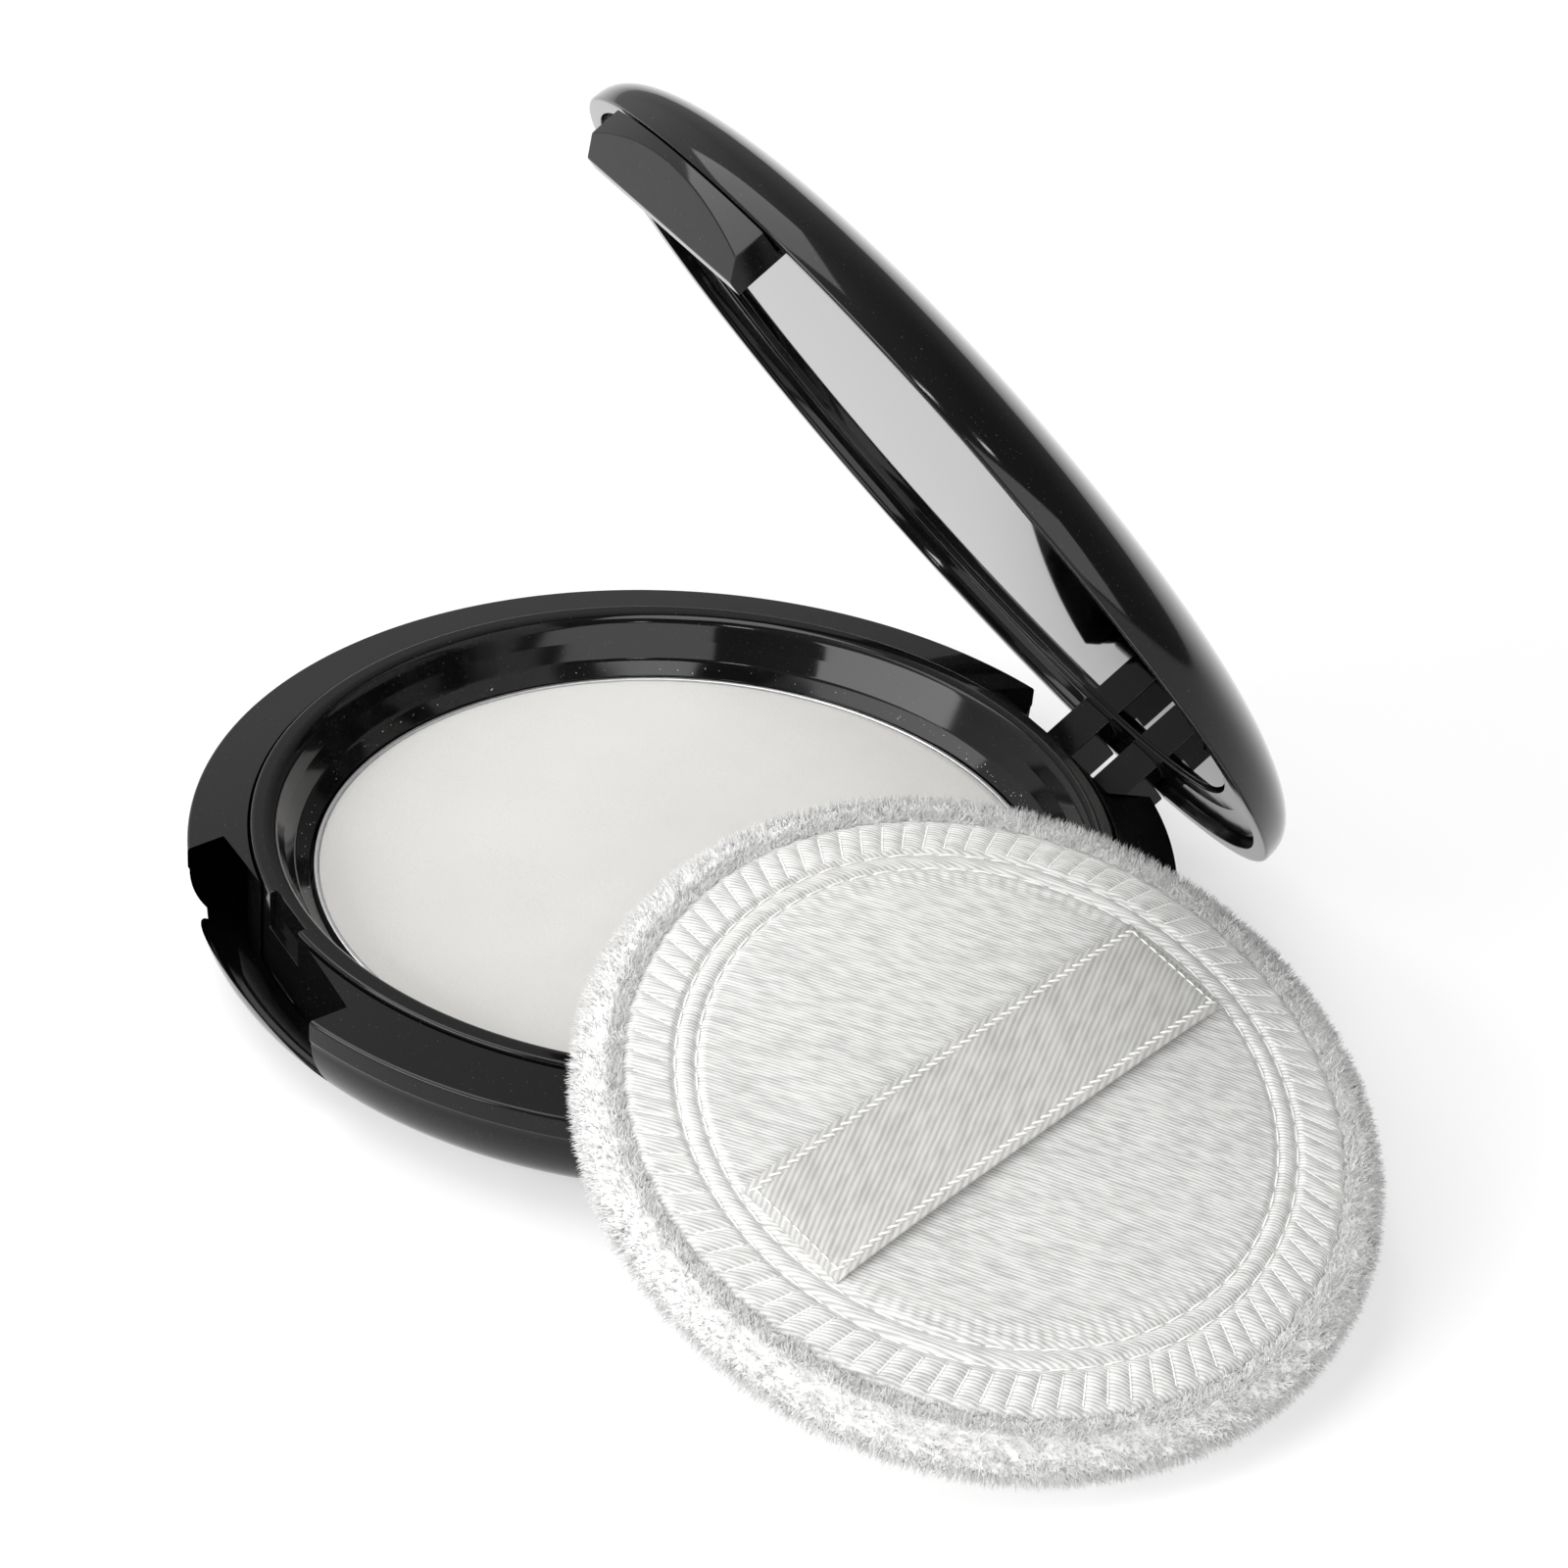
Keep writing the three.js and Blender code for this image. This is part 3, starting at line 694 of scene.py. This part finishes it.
# ---------------------------------------------------------------------------
# Mirror: a silvered glass round with a ground edge, stuck in the lid frame. It
# is a little uneven in gloss, and greyer where it is seen at a low angle.
# ---------------------------------------------------------------------------
mirror_section = rounded_profile([
    (0, MIRROR_FACE, 0),
    (MIRROR_RADIUS, MIRROR_FACE, 0.18),
    (MIRROR_RADIUS, MIRROR_FACE + MIRROR_GLASS, 0.1),
    (0, MIRROR_FACE + MIRROR_GLASS, 0),
])
mirror = turned("mirror_round", mirror_section)
mirror.data.transform(swung)
soften_edges(mirror, 0.05, angle=80, smooth=35)
silver, nodes, links, shader = new_material("silvered_glass")
haze = object_noise(nodes, links, 60, 3.0)
links.new(ramp_between(nodes, links, haze.outputs["Fac"], 0.015, 0.04), shader.inputs["Roughness"])
colour_by(nodes, links, shader, haze.outputs["Fac"], (0.80, 0.80, 0.795), (0.84, 0.84, 0.835))
shader.inputs["Specular Tint"].default_value = (0.58, 0.58, 0.58, 1)
shader.inputs["Metallic"].default_value = 1
mirror.data.materials.append(silver)
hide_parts("mirror")
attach(mirror, "lid")

# ---------------------------------------------------------------------------
# Puff body: a foam round in short white plush that rolls over to the edge of
# the satin. Its fibres are short tapered tufts that lean together in clumps.
# ---------------------------------------------------------------------------
PUFF_RADIUS = 30.0
PUFF_THICKNESS = 5.0
PUFF_TILT, PUFF_TURN = 17.1, -2.9
SATIN_RADIUS = 26.3
LEAN_CENTRE = (44.27, 1.47, 12.98)
PILE = 0.95
leaning = (Matrix.Translation(Vector(LEAN_CENTRE) * MM)
           @ Matrix.Rotation(math.radians(PUFF_TURN), 4, "Z")
           @ Matrix.Rotation(math.radians(PUFF_TILT), 4, "Y"))


def puff_outline():
    """The plush body's section under its pile, from the middle of the back to under the satin."""
    core = PUFF_RADIUS - PILE * 0.75
    roll = PUFF_THICKNESS / 2 - 0.35
    arc = [(core - roll + roll * math.cos(t), -PUFF_THICKNESS / 2 + roll * math.sin(t))
           for t in np.linspace(-math.pi / 2, math.pi * 0.42, 34)]
    return [(0, -PUFF_THICKNESS / 2 - roll), *arc, (SATIN_RADIUS - 0.4, -0.5), (0, -0.5)]


plush_core = turned("puff_plush", puff_outline(), 460)
shape = np.array([v.co for v in plush_core.data.vertices]) / MM
lumps = soft_waves(shape[:, 0], shape[:, 1] + shape[:, 2] * 2, 21, 14, 1.6)
around = np.hypot(shape[:, 0], shape[:, 1])
free = np.clip((around - SATIN_RADIUS) / 2, 0, 1)
shape[:, :2] *= (1 + 0.003 * (lumps * free)[:, None])
plush_core.data.vertices.foreach_set("co", (shape * MM).ravel())
plush_core.data.update()


def tuft_field(count, area):
    """Roots and normals of the pile: on the rolled border, the side or the back."""
    core = PUFF_RADIUS - PILE * 0.75
    roll = PUFF_THICKNESS / 2 - 0.35
    turn = dice.uniform(0, math.tau, count)
    if area == "border":
        bend = dice.uniform(-0.35, math.pi * 0.52, count)
        r = core - roll + roll * np.cos(bend)
        z = -PUFF_THICKNESS / 2 + roll * np.sin(bend)
        inner = dice.random(count) < 0.30
        r = np.where(inner, dice.uniform(SATIN_RADIUS + 0.1, core - roll + 0.5, count), r)
        z = np.where(inner, -0.42 - 0.1 * dice.random(count), z)
        bend = np.where(inner, math.pi / 2, bend)
    elif area == "side":
        bend = dice.uniform(-math.pi / 2, 0, count)
        r = core - roll + roll * np.cos(bend)
        z = -PUFF_THICKNESS / 2 + roll * np.sin(bend)
    else:
        bend = np.full(count, -math.pi / 2)
        r = (core - roll) * np.sqrt(dice.uniform(0.0, 1, count))
        z = np.full(count, -PUFF_THICKNESS / 2 - roll)
    root = np.stack([r * np.cos(turn), r * np.sin(turn), z], 1)
    normal = np.stack([np.cos(bend) * np.cos(turn), np.cos(bend) * np.sin(turn), np.sin(bend)], 1)
    return root, normal


def pile_of(name, root, normal, length, width):
    """Tapered three-sided fibres that lean together in clumps, shaded as the soft surface they make."""
    count = len(root)
    across, along = root[:, 0], root[:, 1] + 2 * root[:, 2]
    clump = np.stack([soft_waves(across, along, seed, 14, 1.1) for seed in (31, 32, 33)], 1)
    lean = normal + 0.22 * clump + dice.normal(0, 0.30, (count, 3))
    lean /= np.linalg.norm(lean, axis=1)[:, None]
    side_a = np.cross(lean, dice.normal(0, 1, (count, 3)))
    side_a /= np.linalg.norm(side_a, axis=1)[:, None]
    side_b = np.cross(lean, side_a)
    long = (length * dice.uniform(0.6, 1.1, count))[:, None]
    wide = (width * dice.uniform(0.75, 1.25, count))[:, None]
    thirds = [k * math.tau / 3 for k in range(3)]
    rows = [root - lean * 0.15 + (side_a * math.cos(t) + side_b * math.sin(t)) * wide for t in thirds]
    points = np.stack([*rows, root + lean * long], 1).reshape(-1, 3)
    points[:, 2] = np.maximum(points[:, 2], -PUFF_THICKNESS)
    pattern = np.array([(0, 2, 1), (0, 1, 3), (1, 2, 3), (2, 0, 3)])
    faces = (pattern[None] + (np.arange(count) * 4)[:, None, None]).reshape(-1, 3)
    piece = mesh_piece(name, points, faces.tolist())
    soft = normal + 0.12 * clump + 0.15 * lean + dice.normal(0, 0.16, (count, 3))
    soft /= np.linalg.norm(soft, axis=1)[:, None]
    piece.data.shade_smooth()
    piece.data.normals_split_custom_set_from_vertices(np.repeat(soft, 4, axis=0).tolist())
    return piece


border = [tuft_field(30000, "border"), tuft_field(9000, "side")]
border_roots, border_normals = (np.vstack(rows) for rows in zip(*border))
pile = pile_of("puff_pile", border_roots, border_normals, PILE, 0.065)
back_pile = pile_of("puff_back_pile", *tuft_field(20000, "back"), PILE, 0.07)

plush, nodes, links, shader = new_material("plush_white")
fuzz = object_noise(nodes, links, 1500, 3.0)
colour_by(nodes, links, shader, fuzz.outputs["Fac"], (0.90, 0.895, 0.88), (0.99, 0.988, 0.98), 0.3, 0.7)
shader.inputs["Roughness"].default_value = 1
shader.inputs["Specular IOR Level"].default_value = 0.05
shader.inputs["Sheen Weight"].default_value = 0.5
shader.inputs["Sheen Roughness"].default_value = 0.5
shader.inputs["Subsurface Weight"].default_value = 0.15
shader.inputs["Subsurface Radius"].default_value = (1, 0.95, 0.9)
shader.inputs["Subsurface Scale"].default_value = 0.0005
add_bump(nodes, links, shader, fuzz.outputs["Fac"], 0.5, 0.0002)
plush_core.data.shade_smooth()
for piece in (plush_core, pile, back_pile):
    piece.data.transform(leaning)
    piece.data.materials.append(plush)
    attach(piece, "puff")
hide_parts("puff_back", "puff_foam")

# ---------------------------------------------------------------------------
# Satin round: the smooth cloth top of the puff. Two rings of stitching pull it
# down, and between the outer ring and its edge the overlock thread gathers it
# into about ninety slanted pleats with small points.
# ---------------------------------------------------------------------------
PLEATS = 90
PLEAT_SLANT = -0.055
SATIN_CROWN = 0.9
SEAM_WIDTH = 0.30
SEAM_OUTER, SEAM_INNER = SATIN_RADIUS * 0.865, SATIN_RADIUS * 0.808


def pleat_phase(r, angle):
    """How far through a pleat a point is, from 0 to 1; the pleats slant as they go outwards."""
    drift = PLEAT_SLANT * np.clip((r - SEAM_OUTER) / (SATIN_RADIUS - SEAM_OUTER), 0, 1)
    return ((angle - drift) * PLEATS / math.tau) % 1.0


def satin_height(x, y, r, angle):
    base = SATIN_CROWN * (1 - (r / SATIN_RADIUS) ** 4)
    groove = -0.30 * np.exp(-((r - SEAM_OUTER) / SEAM_WIDTH) ** 2)
    groove = groove - 0.26 * np.exp(-((r - SEAM_INNER) / SEAM_WIDTH) ** 2)
    out = np.clip((r - SEAM_OUTER) / 0.9, 0, 1)
    pleat = out * 0.26 * (np.sqrt(np.abs(np.sin(math.pi * pleat_phase(r, angle)))) - 0.75)
    pucker = 0.030 * np.exp(-((r - SEAM_INNER + 0.9) / 0.8) ** 2) * np.sin(angle * 130)
    waves = 0.05 * soft_waves(x, y, 41, 8, 9) * np.clip((SEAM_INNER - r) / 3, 0, 1)
    down = -0.35 * np.clip((r - SATIN_RADIUS + 0.5) / 0.5, 0, 1) ** 2
    return base + groove + pleat + pucker + waves + down


satin_sides = PLEATS * 10
satin_radii = [
    *np.linspace(0.5, 19.5, 30), *np.linspace(20.0, 23.4, 22), *np.linspace(23.6, SATIN_RADIUS, 14),
]
satin = polar_sheet("satin_round", satin_radii, satin_sides, satin_height, -0.30)
shape = np.array([v.co for v in satin.data.vertices]) / MM
around = np.hypot(shape[:, 0], shape[:, 1])
turn = np.arctan2(shape[:, 1], shape[:, 0])
points_out = 0.30 * (np.abs(pleat_phase(around, turn) - 0.5) * 2) ** 2
reach = 1 + np.clip((around - 24.5) / (SATIN_RADIUS - 24.5), 0, 1) * points_out / SATIN_RADIUS
shape[:, :2] *= reach[:, None]
satin.data.vertices.foreach_set("co", (shape * MM).ravel())
satin.data.update()
satin.data.shade_smooth()


def twill_cloth(name, turn, row, streak, dark, light, roughness, depth):
    """Woven cloth: fine rows of yarn that run at an angle, broken into short floats. The colour has painted
    shade in the rows and painted sheen on the floats, over the cloth's own tone.
    """
    material, nodes, links, shader = new_material(name)
    floats = object_noise(nodes, links, 0.55 / (row * MM), 2.0, (streak / row, 1, 1), turn)
    rows = nodes.new("ShaderNodeTexWave")
    rows.wave_type = "BANDS"
    rows.bands_direction = "Y"
    rows.inputs["Scale"].default_value = 0.31 / (row * MM)
    rows.inputs["Distortion"].default_value = 1.2
    rows.inputs["Detail"].default_value = 1.0
    rows.inputs["Detail Scale"].default_value = 1.5
    links.new(floats.inputs["Vector"].links[0].from_socket, rows.inputs["Vector"])
    weave_and_sheen = nodes.new("ShaderNodeMath")
    weave_and_sheen.operation = "MULTIPLY_ADD"
    weave_and_sheen.inputs[1].default_value = 0.4
    half_floats = nodes.new("ShaderNodeMath")
    half_floats.operation = "MULTIPLY"
    half_floats.inputs[1].default_value = 0.75
    links.new(floats.outputs["Fac"], half_floats.inputs[0])
    links.new(rows.outputs["Fac"], weave_and_sheen.inputs[0])
    links.new(half_floats.outputs["Value"], weave_and_sheen.inputs[2])
    # Painted shade and sheen: the base colour runs from the darker rows, which stand for the shade between
    # the yarns, to the brighter floats, which stand for the sheen on them.
    tone = ramp_between(nodes, links, weave_and_sheen.outputs["Value"], dark, light, 0.28, 0.80)
    links.new(tone, shader.inputs["Base Color"])
    shine = ramp_between(nodes, links, weave_and_sheen.outputs["Value"], roughness + 0.12, roughness)
    links.new(shine, shader.inputs["Roughness"])
    shader.inputs["Sheen Weight"].default_value = 0.1
    shader.inputs["Specular IOR Level"].default_value = 0.9
    add_bump(nodes, links, shader, weave_and_sheen.outputs["Value"], 0.6, depth)
    return material


# The satin's white is painted darker in the rows as shade and lighter on the floats as sheen.
SATIN_ROW_SHADE, SATIN_FLOAT_SHEEN = (0.40, 0.40, 0.39), (0.77, 0.765, 0.75)
satin_cloth = twill_cloth("satin_weave_painted_sheen", math.radians(50), 0.26, 1.1, SATIN_ROW_SHADE, SATIN_FLOAT_SHEEN, 0.33, 0.00006)
satin.data.materials.append(satin_cloth)
satin.data.transform(leaning)
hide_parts("satin_cover")
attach(satin, "puff")

# ---------------------------------------------------------------------------
# Seams: two rings of short lock stitches, and the overlock thread that runs
# from the outer ring over each pleat's crease to a point at the satin's edge.
# ---------------------------------------------------------------------------
THREAD = 0.085


def thread_tube(path, radius, sides=6):
    """Points and faces of a closed tube of thread along a path."""
    path = np.asarray(path, float)
    along = np.gradient(path, axis=0)
    along /= np.linalg.norm(along, axis=1)[:, None]
    up = np.array([0, 0, 1.0])
    across = np.cross(along, up)
    across /= np.linalg.norm(across, axis=1)[:, None]
    over = np.cross(across, along)
    points = []
    for k in range(len(path)):
        r = radius * (0.55 if k in (0, len(path) - 1) else 1.0)
        for s in range(sides):
            a = s * math.tau / sides
            points.append(path[k] + (across[k] * math.cos(a) + over[k] * math.sin(a)) * r)
    faces = [tuple(range(sides - 1, -1, -1)), tuple(len(points) - sides + s for s in range(sides))]
    for k in range(len(path) - 1):
        for s in range(sides):
            a, b = k * sides + s, k * sides + (s + 1) % sides
            faces.append((a, b, b + sides, a + sides))
    return points, faces


def gather(name, tubes):
    """One piece from many tubes."""
    points, faces = [], []
    for tube_points, tube_faces in tubes:
        first = len(points)
        points += tube_points
        faces += [tuple(first + v for v in face) for face in tube_faces]
    piece = mesh_piece(name, points, faces)
    piece.data.shade_smooth()
    return piece


def satin_point(r, angle, above):
    x, y = r * math.cos(angle), r * math.sin(angle)
    z = satin_height(np.array([x]), np.array([y]), np.array([r]), np.array([angle]))[0]
    return (x, y, z + above)


def lock_stitches(radius, stitches):
    tubes = []
    for k in range(stitches):
        start, end = (k + 0.07) / stitches * math.tau, (k + 0.93) / stitches * math.tau
        path = []
        for t in np.linspace(0, 1, 7):
            path.append(satin_point(radius, start + (end - start) * t, 0.10 * math.sin(math.pi * t) - 0.03))
        tubes.append(thread_tube(path, THREAD))
    return tubes


def overlock_stitches():
    tubes = []
    for k in range(PLEATS):
        crease = k / PLEATS * math.tau
        path = []
        for t in np.linspace(0, 1, 9):
            r = SEAM_OUTER + 0.5 + (SATIN_RADIUS + 0.25 - SEAM_OUTER - 0.5) * t
            drift = PLEAT_SLANT * np.clip((r - SEAM_OUTER) / (SATIN_RADIUS - SEAM_OUTER), 0, 1)
            over = satin_point(min(r, SATIN_RADIUS), crease + drift, 0.06)
            path.append((r * math.cos(crease + drift), r * math.sin(crease + drift), over[2]))
        tubes.append(thread_tube(path, THREAD))
    return tubes


cotton, nodes, links, shader = new_material("white_thread")
ply = object_noise(nodes, links, 4000, 2.0)
colour_by(nodes, links, shader, ply.outputs["Fac"], (0.80, 0.795, 0.78), (0.93, 0.925, 0.91))
shader.inputs["Roughness"].default_value = 0.45
seam_pieces = {
    "seam_stitches_outer": (lock_stitches(SEAM_OUTER, 72), "seam_outer"),
    "seam_stitches_inner": (lock_stitches(SEAM_INNER, 68), "seam_inner"),
    "overlock_stitches": (overlock_stitches(), None),
}
for name, (tubes, node) in seam_pieces.items():
    seam = gather(name, tubes)
    seam.data.transform(leaning)
    seam.data.materials.append(cotton)
    if node:
        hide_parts(node)
    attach(seam, "puff")

# ---------------------------------------------------------------------------
# Ribbon: a satin strap 9.5 mm wide across the puff, for a finger to go under.
# Its ends are caught by the inner seam, and a thread runs along each edge.
# ---------------------------------------------------------------------------
RIBBON_WIDTH = 9.5
RIBBON_THICKNESS = 0.28
RIBBON_TURN = 111.2
RIBBON_LIFT = 0.28
ribbon_half = math.sqrt((SEAM_INNER - 0.25) ** 2 - (RIBBON_WIDTH / 2) ** 2)


def ribbon_top(u, v):
    """Height of the strap's upper face: u runs along it from -1 to 1, v across it from -1 to 1."""
    arch = RIBBON_LIFT * (1 - u ** 4)
    end = -0.22 * np.clip((abs(u) - 0.93) / 0.07, 0, 1) ** 2
    selvedge = 0.03 * math.exp(-((abs(v) - 0.93) / 0.05) ** 2)
    sag = 0.10 * (1 - v * v) * (1 - u * u)
    r = math.hypot(u * ribbon_half, v * RIBBON_WIDTH / 2)
    return SATIN_CROWN * (1 - (r / SATIN_RADIUS) ** 4) + 0.34 + arch + end + selvedge - sag


along_steps, across_steps = 90, 26
strap_points, strap_faces = [], []
for layer in (0, 1):
    for i in range(along_steps + 1):
        for j in range(across_steps + 1):
            u, v = -1 + 2 * i / along_steps, -1 + 2 * j / across_steps
            height = ribbon_top(u, v) - layer * RIBBON_THICKNESS
            strap_points.append((v * RIBBON_WIDTH / 2, u * ribbon_half, height))
row, sheet_points = across_steps + 1, (along_steps + 1) * (across_steps + 1)
for i in range(along_steps):
    for j in range(across_steps):
        a = i * row + j
        b = a + sheet_points
        strap_faces.append((a, a + 1, a + row + 1, a + row))
        strap_faces.append((b, b + row, b + row + 1, b + 1))
rim = ([i * row for i in range(along_steps + 1)]
       + [along_steps * row + j for j in range(1, across_steps + 1)]
       + [i * row + across_steps for i in range(along_steps - 1, -1, -1)]
       + [j for j in range(across_steps - 1, 0, -1)])
for a, b in zip(rim, rim[1:] + rim[:1]):
    strap_faces.append((a, b, b + sheet_points, a + sheet_points))
strap = mesh_piece("ribbon_strap", strap_points, strap_faces)
strap.data.shade_smooth()
strap.data.set_sharp_from_angle(angle=math.radians(50))
across_puff = leaning @ Matrix.Rotation(math.radians(RIBBON_TURN - 90), 4, "Z")
strap.data.transform(across_puff)
# The ribbon's white is painted darker in the rows as shade and lighter on the floats as sheen.
RIBBON_ROW_SHADE, RIBBON_FLOAT_SHEEN = (0.38, 0.375, 0.36), (0.59, 0.585, 0.565)
ribbon_cloth = twill_cloth("ribbon_weave_painted_sheen", math.radians(132), 0.42, 1.6,
                           RIBBON_ROW_SHADE, RIBBON_FLOAT_SHEEN, 0.42, 0.00008)
strap.data.materials.append(ribbon_cloth)
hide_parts("ribbon")
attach(strap, "puff")

edge_tubes = []
for v in (-0.86, 0.86):
    bits = 46
    for k in range(bits):
        u0, u1 = -0.985 + 1.97 * k / bits, -0.985 + 1.97 * (k + 1.05) / bits
        path = []
        for t in np.linspace(0, 1, 5):
            u = min(u0 + (u1 - u0) * t, 0.99)
            shift = v + 0.045 * (t - 0.5) * 2
            height = ribbon_top(u, shift) + 0.05 * math.sin(math.pi * t)
            path.append((shift * RIBBON_WIDTH / 2, u * ribbon_half, height))
        edge_tubes.append(thread_tube(path, 0.10))
for u in (-0.97, 0.97):
    for k in range(9):
        path = []
        for t in np.linspace(0, 1, 5):
            v = -0.9 + 1.8 * (k + 0.1 + 0.8 * t) / 9
            height = ribbon_top(u, v) + 0.06 * math.sin(math.pi * t)
            path.append((v * RIBBON_WIDTH / 2, u * ribbon_half, height))
        edge_tubes.append(thread_tube(path, 0.07))
edging = gather("ribbon_stitches", edge_tubes)
edging.data.transform(across_puff)
edging.data.materials.append(cotton)
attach(edging, "puff")
